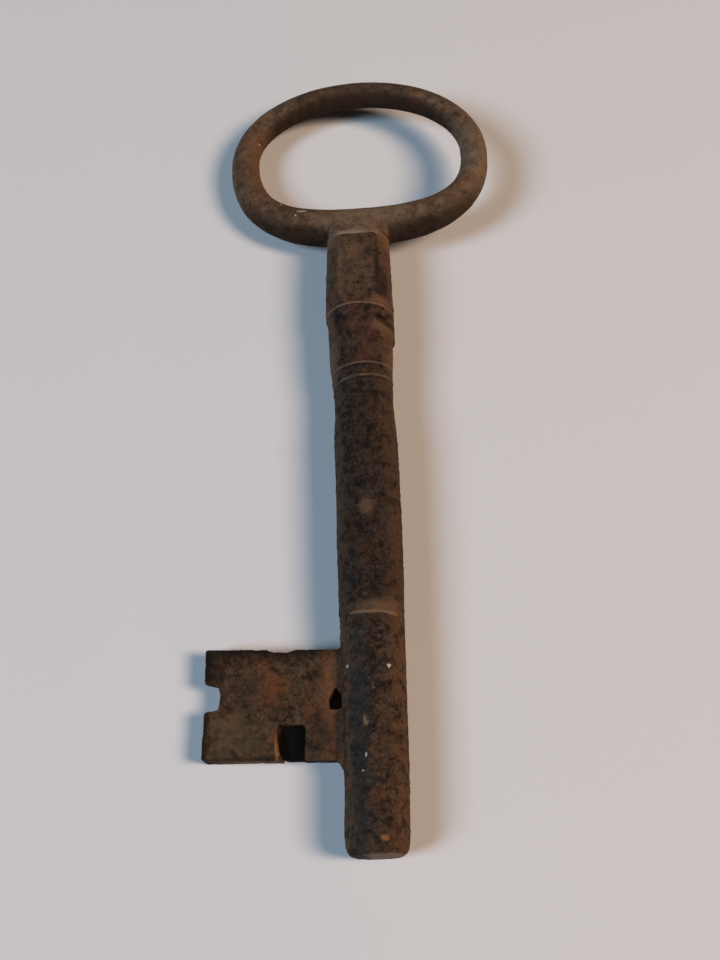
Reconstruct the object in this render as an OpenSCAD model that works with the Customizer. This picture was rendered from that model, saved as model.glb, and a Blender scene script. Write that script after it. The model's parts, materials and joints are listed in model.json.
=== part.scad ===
// Old iron door key: an oval bow on a flattened neck, a collar, a bellied stem with two cut lines,
// a lapped pin end and a wedge-shaped bit with its ward cuts.
// The key lies flat: its axis runs along Y with the bow towards +Y, the bit points to -X and +Z is up.
// The origin is on the axis at the pin's shoulder, 1.8 mm in front of the bit.

/* [Pin end] */
// Diameter of the pin that turns in the lock's far plate
pin_d = 9.0; // [8:0.1:9]
// Length of the pin from its worn face to its shoulder
pin_l = 11.2; // [9:0.1:16]
// Length of the worn lead at the pin's end
lead_l = 3.2; // [2:0.1:5]
// Diameter of the worn face before its edge is rounded
lead_d = 8.6; // [7.4:0.1:8.9]
// Radius that wear has given the edge of the face
tip_round = 0.9; // [0.4:0.05:1.5]
// Diameter of the stem at the near end of the bit
seat_d = 9.1; // [9.1:0.02:9.3]
// Growth of that diameter along the bit
seat_rise = 0.2; // [0.1:0.02:0.3]
// Stem between the bit and the lap, measured along its front
lap_set = 4.2; // [3:0.1:9]
// Diameter of the pin end at the lap
lap_d = 9.5; // [9.3:0.05:9.6]
// Lean of the lap joint away from square, in degrees
lap_lean = 12; // [0:1:18]
// Diameter of the dowel inside the lap joint
dowel_d = 5.0; // [3:0.1:6]
// Length of that dowel
dowel_l = 7.0; // [4:0.1:10]

/* [Stem] */
// Diameter of the stem at the middle of its belly
stem_d = 10.0; // [9.8:0.05:10.5]
// Diameter of the stem's lip over the lap
lip_d = 9.7; // [9.65:0.05:10]
// Stem from the lap to where the belly is full
swell_l = 12; // [6:0.5:15]
// Full belly
belly_l = 16; // [8:0.5:24]
// Stem from the full belly down to the waist
fall_l = 7.3; // [5:0.1:12]
// Diameter of the waist
waist_d = 9.3; // [9:0.05:9.6]
// Moulding from the waist up to the collar
rise_l = 11.2; // [9.5:0.1:14]
// Diameter of the moulding where it meets the collar
rise_d = 10.3; // [10:0.05:10.5]
// Distance from the waist to the first cut line
line_set = 3.8; // [2.5:0.1:5]
// Distance between the two cut lines
line_pitch = 2.2; // [1.4:0.1:3]
// Width of a cut line
line_w = 0.6; // [0.4:0.05:0.9]
// Skew of the first cut line, in degrees
line_skew = 5; // [2:0.5:6]
// Skew that the second line has less than the first, in degrees
line_fan = 1.6; // [0:0.2:2]
// Diameter of the spigot that holds the collar and enters the neck
spigot_d = 6.6; // [5:0.1:7]
// Depth of that spigot inside the neck
spigot_l = 5.0; // [3:0.1:6]

/* [Collar] */
// Diameter of the collar's raised band
collar_d = 11.1; // [10.8:0.05:11.3]
// Length of the collar along its front
collar_l = 5.6; // [5.3:0.1:7]
// Shortest length of the raised band, on the bit's side
band_min = 0.3; // [0.2:0.1:1]
// Longest length of the raised band, on the far side
band_max = 5.2; // [4:0.1:5.2]

/* [Neck] */
// Length of the neck
neck_l = 14.1; // [13.5:0.1:20]
// Width of the neck at the collar
neck_low_w = 11.2; // [11:0.1:12]
// Width of the neck at the bow
neck_top_w = 10.6; // [10:0.1:11]
// Thickness of the neck over its two flats, at the collar
neck_low_t = 8.9; // [7.8:0.1:9.4]
// Thickness of the neck over its two flats, at the bow
neck_top_t = 8.7; // [7.6:0.1:9.2]

/* [Bow] */
// Width of the eye across the key
eye_w = 36.1; // [30:0.1:44]
// Length of the eye along the key
eye_l = 23.6; // [20:0.1:30]
// Distance from the eye's near edge to its widest place
eye_near = 10.8; // [9:0.1:13]
// Thickness of the bow's round bar
bar_d = 4.55; // [3.6:0.05:5.6]
// Thickness of the bar where it meets the neck
root_d = 6.55; // [6:0.05:7.2]
// Spread of that swelling round the bow, in degrees
swell_angle = 58; // [40:1:70]
// Squareness of the bow's far half, where 2 is an ellipse
far_power = 2.04; // [2:0.01:2.4]
// Squareness of the bow's near half
near_power = 2.49; // [2.1:0.01:3]
// Stand of the bow's bar off the end of the neck
bow_stand = 1.0; // [0.6:0.1:1.8]
// Width of the bow's stub on the neck
stub_w = 9.4; // [8:0.1:9.6]
// Thickness of the bow's stub on the neck
stub_t = 6.2; // [5.4:0.1:6.6]
// Width of the tang inside the neck
tang_w = 5.5; // [4:0.1:6]
// Thickness of the tang inside the neck
tang_t = 3.6; // [2.6:0.1:4]
// Length of the tang inside the neck
tang_l = 7.0; // [4:0.1:7.3]

/* [Bit] */
// Reach of the bit from the key's axis to its outer edge
bit_reach = 24.2; // [22:0.1:28]
// Length of the bit along the key
bit_l = 15.9; // [14.5:0.1:20]
// Distance from the pin's shoulder to the bit
bit_set = 1.8; // [1.1:0.1:3]
// Skew of the bit towards the bow, in degrees
bit_skew = 1.7; // [0:0.1:3]
// Thickness of the bit at its outer edge
bit_edge_t = 3.7; // [2.8:0.1:4.6]
// Thickness of the bit at its root
bit_root_t = 2.5; // [2:0.1:3]
// Depth to which the bit is let into the pin end
tongue_l = 1.6; // [0.8:0.1:2]
// Radius of the bit's worn outer corners
corner_r = 0.7; // [0.3:0.05:1.2]
// Distance from the key's axis to the middle of the ward slot's mouth
ward_x = 10.9; // [9:0.05:13]
// Width of the ward slot along the bit's near edge
ward_w = 3.65; // [2.4:0.05:4.5]
// Depth of the ward slot from the bit's near edge
ward_h = 4.9; // [3:0.1:6.2]
// Lean of the ward slot towards the bit's outer edge, in degrees
ward_lean = 13; // [0:1:18]
// Radius in the ward slot's corners
ward_r = 0.7; // [0.3:0.05:1.1]
// Distance from the bit's near edge to the notch in its outer edge
notch_set = 6.9; // [6:0.1:8.5]
// Height of that notch
notch_h = 3.8; // [2.5:0.1:4.5]
// Depth of that notch
notch_l = 2.0; // [1:0.1:3]
// Distance from the key's axis to the middle of the worn dip in the far edge
dip_x = 13.4; // [11:0.1:16]
// Width of the dip
dip_w = 4.3; // [3:0.1:6]
// Depth of the dip
dip_h = 0.4; // [0.2:0.05:0.8]

/* [Brazing] */
// Radius of the brazed corner along the bit's root
braze_r = 0.9; // [0.5:0.05:1]
// Height of the brazed corner between the neck and the bow
saddle_h = 1.2; // [0.6:0.1:1.6]
// Ledge of the neck that the saddle's brazing leaves bare
saddle_ledge = 0.15; // [0.05:0.05:0.3]
// Width of the hole that the brazing left open at the bit's root
gap_w = 1.8; // [1:0.1:2.2]
// Length of that hole along the key
gap_l = 3.2; // [2:0.1:4]
// Distance from the bit's near edge to the hole
gap_set = 7.1; // [5.5:0.1:8.5]

/* [Fits] */
// Clearance round a spigot, a dowel or a tang
fit_gap = 0.05; // [0.03:0.01:0.1]
// Clearance past the end of a spigot, a dowel or a tang
end_gap = 0.3; // [0.2:0.05:0.5]

/* [Hidden] */
$fn = 64;

pin_color = "#3a3029";
stem_color = "#33302e";
bit_color = "#4f3826";
neck_color = "#493a2d";
bow_color = "#55412f";
braze_color = "#8a5a32";

// Stations along the key, counted from the shoulder
bit_y = bit_set;
bit_end = bit_y + bit_l;
lap_y = bit_end + lap_set;
belly_y = lap_y + swell_l;
belly_end = belly_y + belly_l;
waist_y = belly_end + fall_l;
line_y = waist_y + line_set;
collar_y = waist_y + rise_l;
neck_y = collar_y + collar_l;
bow_y = neck_y + neck_l;

// Half sizes of the bow's centre line, the Y of its widest place and the stub's run into the bar
bow_half_w = eye_w / 2 + bar_d / 2;
bow_near_h = eye_near + root_d / 2;
bow_far_h = eye_l - eye_near + bar_d / 2;
stub_sink = 2.4;
bow_center_y = bow_y + bow_stand + root_d / 2 + bow_near_h;
bow_steps = 72;
bar_sides = 16;
// The neck's place round the bow, and the turn over which the bow's heading is taken, in degrees
neck_turn = 270;
heading_turn = 1;

// Small overrun of a cutting tool past the face that it cuts, and a size past every edge
over = 0.5;
far = 60;
profile_step = 1.5;
tip_steps = 6;

// The brazed corner ends in a blunt edge of this height, and wraps this far round the bit's ends
braze_bite = 0.06;
braze_wrap = braze_r / 3;

function smooth(u) = u * u * (3 - 2 * u);
function mix(a, b, u) = a + (b - a) * u;

// Radius of the stem at a distance y from the shoulder
function stem_r(y) =
    y < belly_y ? mix(lip_d, stem_d, smooth(max(0, (y - lap_y) / swell_l))) / 2 :
    y < belly_end ? stem_d / 2 :
    y < waist_y ? mix(stem_d, waist_d, smooth((y - belly_end) / fall_l)) / 2 :
    mix(waist_d, rise_d, smooth(min(1, (y - waist_y) / rise_l))) / 2;

// Solid of revolution about the key's axis from [radius, y] points
module turned(points) {
    rotate([-90, 0, 0])
        rotate_extrude()
            polygon([for (p = points) [p[0], p[1]]]);
}

// Cylinder or cone along the key's axis
module rod(y0, y1, d0, d1) {
    translate([0, y0, 0])
        rotate([-90, 0, 0])
            cylinder(h = y1 - y0, d1 = d0, d2 = d1);
}

// Slab across the key whose thickness changes from t0 at y0 to t1 at y1
module slab(y0, y1, t0, t1) {
    rotate([90, 0, 90])
        linear_extrude(height = far, center = true)
            polygon([[y0, -t0 / 2], [y1, -t1 / 2], [y1, t1 / 2], [y0, t0 / 2]]);
}

// Everything on the bow's side of the leaning lap joint, moved by a distance along the key
module above_lap(shift = 0) {
    translate([0, lap_y + shift, lap_d / 2])
        rotate([lap_lean, 0, 0])
            translate([-far, 0, -far])
                cube([2 * far, 2 * far, 2 * far]);
}

// Turned outside of the pin end, without its dowel or its cut for the bit
module pin_envelope() {
    edge_y = -pin_l + tip_round;
    edge = [for (i = [0:tip_steps]) let(a = i * 90 / tip_steps)
        [lead_d / 2 - tip_round * (1 - sin(a)), edge_y - tip_round * cos(a)]];
    cone_y = bit_end + bit_set;
    turned(concat([[0, -pin_l]], edge, [
        [pin_d / 2, -pin_l + lead_l],
        [pin_d / 2, 0],
        [seat_d / 2, 0],
        [(seat_d + seat_rise) / 2, cone_y],
        [lap_d / 2, lap_y + over],
        [lap_d / 2, lap_y + dowel_l],
        [0, lap_y + dowel_l]]));
}

module pin_end() {
    color(pin_color)
        difference() {
            union() {
                difference() {
                    pin_envelope();
                    above_lap();
                }
                rod(bit_end + lap_set / 2, lap_y + dowel_l, dowel_d, dowel_d);
            }
            bit_seat();
        }
}

// Slot in the pin end that takes the bit's tongue
module bit_seat() {
    slot_t = bit_root_t + 2 * fit_gap;
    depth_x = seat_d / 2 - tongue_l - end_gap;
    skewed()
        translate([-seat_d, bit_y - fit_gap, -slot_t / 2])
            cube([seat_d - depth_x, bit_l + 2 * fit_gap, slot_t]);
}

// Turns what goes with the bit by its skew, about the middle of its root
module skewed() {
    root_y = bit_y + bit_l / 2;
    translate([-seat_d / 2, root_y, 0])
        rotate([0, 0, -bit_skew])
            translate([seat_d / 2, -root_y, 0])
                children();
}

module stem() {
    count = ceil((collar_y - lap_y) / profile_step);
    start_y = lap_y - over;
    side = [for (i = [0:count]) let(y = mix(start_y, collar_y, i / count)) [stem_r(y), y]];
    color(stem_color)
        difference() {
            union() {
                intersection() {
                    turned(concat([[0, start_y]], side, [[0, collar_y]]));
                    above_lap();
                }
                rod(collar_y - over, neck_y + spigot_l, spigot_d, spigot_d);
            }
            rod(lap_y - over, lap_y + dowel_l + end_gap, dowel_d + 2 * fit_gap, dowel_d + 2 * fit_gap);
            for (k = [0:1])
                cut_line(line_y + k * line_pitch, line_skew - k * line_fan);
        }
}

// Fine V cut all the way round the stem
module cut_line(y, skew) {
    r = stem_r(y);
    translate([0, y, 0])
        rotate([-90, 0, skew])
            rotate_extrude()
                polygon([[r - line_w / 2, 0], [r + line_w, -line_w * 1.5], [r + line_w, line_w * 1.5]]);
}

module collar() {
    band_y = neck_y - band_min;
    skew = atan((band_max - band_min) / collar_d);
    color(neck_color)
        difference() {
            union() {
                rod(collar_y, neck_y, rise_d, mix(rise_d, collar_d, 0.4));
                difference() {
                    rod(collar_y, neck_y, collar_d, collar_d);
                    translate([-collar_d / 2, band_y, 0])
                        rotate([0, 0, -skew])
                            translate([-far, -2 * far, -far])
                                cube([2 * far, 2 * far, 2 * far]);
                }
            }
            rod(collar_y - over, neck_y + over, spigot_d + 2 * fit_gap, spigot_d + 2 * fit_gap);
        }
}

// Cone along the axis with a flat in front and behind
module flatted(y0, y1, w0, w1, t0, t1) {
    intersection() {
        rod(y0, y1, w0, w1);
        slab(y0, y1, t0, t1);
    }
}

module neck() {
    socket_d = spigot_d + 2 * fit_gap;
    color(neck_color)
        difference() {
            flatted(neck_y, bow_y, neck_low_w, neck_top_w, neck_low_t, neck_top_t);
            rod(neck_y - over, neck_y + spigot_l + end_gap, socket_d, socket_d);
            tang(fit_gap, end_gap);
        }
}

// Tang of the bow, enlarged all round by a gap for its socket
module tang(gap = 0, gap_l = 0) {
    translate([-tang_w / 2 - gap, bow_y - tang_l - gap_l, -tang_t / 2 - gap])
        cube([tang_w + 2 * gap, tang_l + gap_l + over, tang_t + 2 * gap]);
}

// Point of the bow's centre line at a turn of a degrees, from the widest place on the right
function bow_point(a) =
    let(n = sin(a) < 0 ? near_power : far_power)
    let(h = sin(a) < 0 ? bow_near_h : bow_far_h)
    [bow_half_w * sign(cos(a)) * pow(abs(cos(a)), 2 / n), h * sign(sin(a)) * pow(abs(sin(a)), 2 / n)];

// Radius of the bow's bar, which swells towards the neck
function bar_r(a) =
    let(off = min(abs(a - neck_turn), abs(a + 360 - neck_turn)) / swell_angle)
    mix(bar_d, root_d, exp(-off * off)) / 2;

// Point of the bar's surface: a runs round the bow and b round the bar
function bar_point(a, b) =
    let(p = bow_point(a))
    let(ahead = bow_point(a + heading_turn) - bow_point(a - heading_turn))
    let(out = [ahead[1], -ahead[0]] / norm(ahead))
    let(r = bar_r(a))
    [p[0] + out[0] * r * cos(b), bow_center_y + p[1] + out[1] * r * cos(b), r * sin(b)];

module bow_ring() {
    points = [for (i = [0:bow_steps - 1]) for (j = [0:bar_sides - 1])
        bar_point(i * 360 / bow_steps, j * 360 / bar_sides)];
    faces = [for (i = [0:bow_steps - 1]) for (j = [0:bar_sides - 1])
        let(i2 = (i + 1) % bow_steps)
        let(j2 = (j + 1) % bar_sides)
        let(quad = [i * bar_sides + j, i2 * bar_sides + j, i2 * bar_sides + j2, i * bar_sides + j2])
        each [[quad[0], quad[2], quad[1]], [quad[0], quad[3], quad[2]]]];
    polyhedron(points = points, faces = faces, convexity = 4);
}

module bow() {
    color(bow_color)
        bow_solid();
}

module bow_solid() {
    bow_ring();
    flatted(bow_y, bow_y + bow_stand + stub_sink, stub_w, stub_w, stub_t, stub_t);
    tang();
}

// Outline of the bit seen from above, with its near edge on the X axis and its root at x = 0
module bit_outline() {
    outer_x = -bit_reach + corner_r;
    difference() {
        union() {
            translate([outer_x, 0])
                square([-outer_x, bit_l]);
            translate([-bit_reach, corner_r])
                square([bit_reach, bit_l - 2 * corner_r]);
            for (y = [corner_r, bit_l - corner_r])
                translate([outer_x, y])
                    circle(r = corner_r);
        }
        ward_slot();
        translate([-bit_reach - over, notch_set])
            square([notch_l + over, notch_h]);
        far_dip();
        root_gap();
    }
}

// X of a side of the ward slot at a distance y from the bit's near edge
function ward_side(side, y) = -ward_x + side * ward_w / 2 - y * tan(ward_lean);

// Middle of the round in an inner corner of the ward slot
function ward_corner(side) =
    [ward_side(side, ward_h - ward_r) - side * ward_r / cos(ward_lean), ward_h - ward_r];

// Ward slot, open at the bit's near edge, with leaning sides and rounded inner corners
module ward_slot() {
    touch = ward_r * [cos(ward_lean), sin(ward_lean)];
    polygon([
        [ward_side(-1, -over), -over],
        ward_corner(-1) - touch,
        [ward_corner(-1)[0], ward_h],
        [ward_corner(1)[0], ward_h],
        ward_corner(1) + touch,
        [ward_side(1, -over), -over]]);
    for (side = [-1, 1])
        translate(ward_corner(side))
            circle(r = ward_r);
}

// Shallow worn dip in the far edge, an arc of the given width and depth
module far_dip() {
    r = (dip_w * dip_w / 4 + dip_h * dip_h) / (2 * dip_h);
    translate([-dip_x, bit_l - dip_h + r])
        circle(r = r);
}

// Hole at the root, pointed towards the far edge, that reaches the stem's side
module root_gap() {
    x0 = -seat_d / 2 - gap_w;
    x1 = -seat_d / 2 + tongue_l / 2;
    polygon([
        [x1, gap_set],
        [x0 + gap_w * 0.15, gap_set],
        [x0, gap_set + gap_l * 0.55],
        [x0 + gap_w * 0.6, gap_set + gap_l],
        [x1, gap_set + gap_l * 0.85]]);
}

// Wedge section of the bit, thicker at its outer edge, run past both its ends by a distance
module bit_wedge(past = 0) {
    root_x = -seat_d / 2;
    end_x = root_x + tongue_l;
    points = [
        [-bit_reach, bit_edge_t / 2],
        [root_x, bit_root_t / 2],
        [end_x, bit_root_t / 2],
        [end_x, -bit_root_t / 2],
        [root_x, -bit_root_t / 2],
        [-bit_reach, -bit_edge_t / 2]];
    translate([0, bit_end + past, 0])
        rotate([90, 0, 0])
            linear_extrude(height = bit_l + 2 * past)
                polygon(points);
}

module bit() {
    color(bit_color)
        bit_solid();
}

module bit_solid() {
    skewed()
        intersection() {
            bit_wedge(over);
            translate([0, bit_y, -bit_edge_t])
                linear_extrude(height = 2 * bit_edge_t)
                    bit_outline();
        }
}

// Concave corner of brazing in front of and behind the bit's root, which wraps round its ends
module root_corner(side) {
    z = bit_root_t / 2 + braze_r;
    x = -sqrt(pow(seat_d / 2 + braze_r, 2) - z * z);
    translate([0, bit_end + braze_wrap, 0])
        rotate([90, 0, 0])
            linear_extrude(height = bit_l + 2 * braze_wrap)
                difference() {
                    polygon([[x, 0], [x, side * z], [0, side * bit_root_t / 2], [0, 0]]);
                    translate([x, side * z])
                        circle(r = braze_r + braze_bite);
                }
}

// Concave corner of brazing at the bit's near or far end
module end_corner(y, way) {
    x = -seat_d / 2 - braze_r;
    y_in = y - way * over;
    y_out = y + way * braze_r;
    wide_t = bit_root_t + 2 * braze_wrap;
    translate([0, 0, -wide_t / 2])
        linear_extrude(height = wide_t)
            difference() {
                polygon([[x, y_in], [0, y_in], [0, y_out], [x, y_out]]);
                translate([x, y_out])
                    circle(r = braze_r + braze_bite);
            }
}

module bit_braze() {
    $fn = 240;
    color(braze_color)
        difference() {
            union() {
                root_corner(1);
                root_corner(-1);
                end_corner(bit_y, -1);
                end_corner(bit_end, 1);
            }
            pin_envelope();
            skewed() {
                bit_wedge();
                translate([0, bit_y, -far / 2])
                    linear_extrude(height = far)
                        root_gap();
            }
        }
}

module bow_braze() {
    ledge_w = neck_top_w - 2 * saddle_ledge;
    ledge_t = neck_top_t - 2 * saddle_ledge;
    color(braze_color)
        difference() {
            flatted(bow_y, bow_y + saddle_h, ledge_w, stub_w, ledge_t, stub_t);
            bow_solid();
        }
}

bow();
neck();
collar();
stem();
pin_end();
bit();
bow_braze();
bit_braze();
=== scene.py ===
# %% [markdown]
# # An old iron door key
# A key like this was forged from round bar, with the bow bent to an oval, the bit let into a slot
# near the end and brazed, and the whole then carried in a pocket and left to rust for a century.
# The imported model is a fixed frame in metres: each of its nodes has its true size and place, so a
# dressed piece is modelled exactly where its node lies, and nothing is moved afterwards.

import json
import math

import bmesh
import bpy
import numpy as np
from mathutils import Matrix, Vector, noise

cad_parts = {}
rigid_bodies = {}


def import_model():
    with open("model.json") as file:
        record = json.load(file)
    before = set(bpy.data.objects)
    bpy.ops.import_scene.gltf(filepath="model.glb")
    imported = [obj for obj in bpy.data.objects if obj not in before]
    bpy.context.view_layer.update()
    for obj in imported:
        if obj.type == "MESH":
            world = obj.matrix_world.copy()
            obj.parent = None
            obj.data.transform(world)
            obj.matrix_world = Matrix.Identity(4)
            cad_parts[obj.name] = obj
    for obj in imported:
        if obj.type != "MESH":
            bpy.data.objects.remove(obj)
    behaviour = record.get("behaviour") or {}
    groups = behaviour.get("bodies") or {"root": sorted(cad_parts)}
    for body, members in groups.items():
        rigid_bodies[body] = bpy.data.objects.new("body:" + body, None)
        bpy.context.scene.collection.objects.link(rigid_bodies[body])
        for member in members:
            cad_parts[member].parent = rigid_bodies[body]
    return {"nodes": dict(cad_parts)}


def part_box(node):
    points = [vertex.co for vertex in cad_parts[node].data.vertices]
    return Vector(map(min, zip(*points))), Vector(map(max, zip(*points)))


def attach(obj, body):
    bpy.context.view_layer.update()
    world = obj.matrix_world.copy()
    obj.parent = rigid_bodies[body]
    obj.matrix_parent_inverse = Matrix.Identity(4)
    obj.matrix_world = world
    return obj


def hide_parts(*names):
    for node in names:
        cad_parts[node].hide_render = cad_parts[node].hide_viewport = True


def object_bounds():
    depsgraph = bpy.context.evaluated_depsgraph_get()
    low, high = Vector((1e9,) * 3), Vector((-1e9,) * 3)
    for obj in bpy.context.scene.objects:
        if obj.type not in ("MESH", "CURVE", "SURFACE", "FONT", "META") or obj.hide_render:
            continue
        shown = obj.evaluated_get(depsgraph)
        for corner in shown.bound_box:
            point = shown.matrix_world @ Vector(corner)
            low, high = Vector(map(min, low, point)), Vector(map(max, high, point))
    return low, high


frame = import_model()
cad_low, cad_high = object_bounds()
scene = bpy.context.scene
print("nodes", sorted(frame["nodes"]))
print("box in mm", [round(side * 1000, 1) for side in cad_high - cad_low])

# %% [markdown]
# ## Stations along the key
# The key lies along Y with its bow at the far end, its bit points to -X and +Z faces up. Every
# place along it is read from a node's box, so the pieces follow the frame if it changes. The
# modelling is done in millimetres, which are easier to think in, and the last step of each piece
# turns it into metres.

# %% Stations
MM = 0.001
low = {name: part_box(name)[0] / MM for name in frame["nodes"]}
high = {name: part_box(name)[1] / MM for name in frame["nodes"]}
tip_y = low["pin_end"].y
lap_y = low["stem"].y
collar_y, neck_y = low["collar"].y, high["collar"].y
bow_y = high["neck"].y
bow_far_y = high["bow"].y
bow_half = high["bow"].x
print("tip, lap, collar, neck, bow:", [round(y, 1) for y in (tip_y, lap_y, collar_y, neck_y, bow_y)])

# %% [markdown]
# ## From a bmesh to a finished object
# A shape is worked as a bmesh, Blender's editable mesh. At the end its doubles are merged, its
# faces are turned outwards, it is held inside the model's box and scaled to metres. The object
# stays at the origin and unscaled, so that a pattern on Object coordinates keeps its place.

# %% Finishing a piece
SAME_PLACE = 0.0005
box_low, box_high = cad_low / MM, cad_high / MM


def settle(bm, name):
    """A finished object in metres from a bmesh in millimetres."""
    bmesh.ops.remove_doubles(bm, verts=bm.verts, dist=SAME_PLACE)
    bmesh.ops.recalc_face_normals(bm, faces=bm.faces)
    for vert in bm.verts:
        for axis in range(3):
            vert.co[axis] = min(max(vert.co[axis], box_low[axis]), box_high[axis])
    bmesh.ops.scale(bm, vec=(MM, MM, MM), verts=bm.verts)
    return as_object(bm, name)


def as_object(bm, name):
    """An object of the bmesh as it is, which frees the bmesh."""
    mesh = bpy.data.meshes.new(name)
    bm.to_mesh(mesh)
    bm.free()
    mesh.shade_smooth()
    piece = bpy.data.objects.new(name, mesh)
    scene.collection.objects.link(piece)
    return piece


print("pieces are held between", box_low.to_tuple(2), "and", box_high.to_tuple(2))

# %% [markdown]
# ## Easing from one size to another
# A forged bar never steps from one size to the next: it swells and tapers. An S curve, flat at
# both of its ends, carries each such change, and a share of the way gives the size in between.

# %% Easing
def smooth_step(start, end, value):
    """0 before start, 1 past end and an S curve between them."""
    share = min(max((value - start) / (end - start), 0), 1)
    return share * share * (3 - 2 * share)


def mix(a, b, share):
    """The value that lies that share of the way from a to b."""
    return a + (b - a) * share


print("the S curve in quarters:", [round(smooth_step(0, 4, quarter), 2) for quarter in range(5)])

# %% [markdown]
# ## Turning and an even skin
# A round piece is turned: its outline is drawn as a chain of points beside the axis and spun
# round it. Rust needs many small faces of about the same size, since each pit is a handful of
# them. A turned piece gets those from the spin. For a plate or a bent ring, a Remesh modifier in
# voxel mode wraps the rough form in an even skin of squares, and a few rounds of smoothing give
# its edges the softness of long wear.

# %% Turned and wrapped shapes
WEAR_SHARE = 0.5


def turned(outline, sides):
    """Spins a chain of (radius, y) points round the key's axis, which closes it at both ends."""
    bm = bmesh.new()
    chain = [bm.verts.new((radius, y, 0)) for radius, y in outline]
    edges = [bm.edges.new(pair) for pair in zip(chain, chain[1:])]
    bmesh.ops.spin(bm, geom=chain + edges, cent=(0, 0, 0), axis=(0, 1, 0), dvec=(0, 0, 0),
                   angle=math.tau, steps=sides, use_merge=True, use_duplicate=False)
    bmesh.ops.remove_doubles(bm, verts=bm.verts, dist=SAME_PLACE)
    return bm


def outline_along(radius_at, stations, cap_step):
    """A turned piece's points: out from the axis at the first station, along the side and back in."""
    first, last = stations[0], stations[-1]
    near, far = radius_at(first), radius_at(last)
    near_count, far_count = round(near / cap_step), round(far / cap_step)
    start = [(near * i / near_count, first) for i in range(near_count)]
    end = [(far * i / far_count, last) for i in reversed(range(far_count))]
    return start + [(radius_at(y), y) for y in stations] + end


def wear(bm, rounds, verts=None):
    """Smooths every vertex, or only the given ones, some rounds over."""
    for _ in range(rounds):
        bmesh.ops.smooth_vert(bm, verts=verts or bm.verts, factor=WEAR_SHARE,
                              use_axis_x=True, use_axis_y=True, use_axis_z=True)


def as_worked(piece):
    """A bmesh of an object with its modifiers applied, which takes the object away."""
    shown = piece.evaluated_get(bpy.context.evaluated_depsgraph_get())
    bm = bmesh.new()
    bm.from_mesh(shown.to_mesh())
    shown.to_mesh_clear()
    bpy.data.objects.remove(piece)
    return bm


def even_skin(bm, square, rounds):
    """Wraps closed shapes in one even skin of squares of that size, worn some rounds over."""
    rough = as_object(bm, "rough")
    wrap = rough.modifiers.new("wrap", "REMESH")
    wrap.mode = "VOXEL"
    wrap.voxel_size = square
    skin = as_worked(rough)
    wear(skin, rounds)
    return skin


print("outline of a short bar:", outline_along(lambda y: 2, (0, 3), 1))

# %% [markdown]
# ## Rust as geometry
# A rusted surface is uneven at three scales: the hammer's slow waves, pits under a millimetre
# across that have eaten into it, and a fine grain. Three noises of those sizes move each vertex
# along its normal. The first two are built up in layers, each finer and weaker than the last. The
# key is also a little bent along its length, as old keys are.

# %% Weathering
BEND = [(-11.2, -0.05), (0, 0.12), (12, 0.1), (25, 0.08), (43, 0.06), (55, -0.12), (66, -0.4),
        (80, -0.5), (88.1, -0.4)]
WAVE_SIZE, PIT_SIZE, GRAIN_SIZE = 3.4, 0.85, 0.24
WAVE_LAYERS, PIT_LAYERS = (1.0, 2.0, 2), (0.85, 2.1, 3)
WAVE_MEAN, PIT_EDGE, PIT_FLOOR = 0.4, 0.12, 0.62
SEED_SHIFT = (31.7, 11.3, 5.9)


def bend_at(y):
    """How far wear has bent the key's axis to the side at a station."""
    for (y0, x0), (y1, x1) in zip(BEND, BEND[1:]):
        if y <= y1:
            return mix(x0, x1, smooth_step(y0, y1, y))
    return BEND[-1][1]


def weather(bm, seed, wave=0.06, pit=0.07, grain=0.015, bent=True):
    """Moves each vertex in and out as hammering, pits and rust have done."""
    bm.normal_update()
    shift = Vector([seed * step for step in SEED_SHIFT])
    for vert in bm.verts:
        place = vert.co + shift
        slow = noise.fractal(place / WAVE_SIZE, *WAVE_LAYERS)
        eaten = smooth_step(PIT_EDGE, PIT_FLOOR, noise.fractal(place / PIT_SIZE, *PIT_LAYERS))
        fine = noise.noise(place / GRAIN_SIZE)
        vert.co += vert.normal * (wave * (slow - WAVE_MEAN) - pit * eaten + grain * fine)
        if bent:
            vert.co.x += bend_at(vert.co.y)


print("bend in mm at the tip, collar and neck:", [round(bend_at(y), 2) for y in (tip_y, collar_y, neck_y)])

# %% [markdown]
# ## Where the surface stands out
# Handling rubs what stands out and dirt fills what lies deep. So each piece gets one number per
# vertex, named relief: its height above the average of the surface round it. It is found by
# averaging every vertex with its neighbours a few times over, and the materials read it. They
# also read the way each vertex faces, which is stored beside it.

# %% Relief
RELIEF_ROUNDS, RELIEF_REACH, JOINT_REACH = 10, 0.05, 0.8


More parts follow.
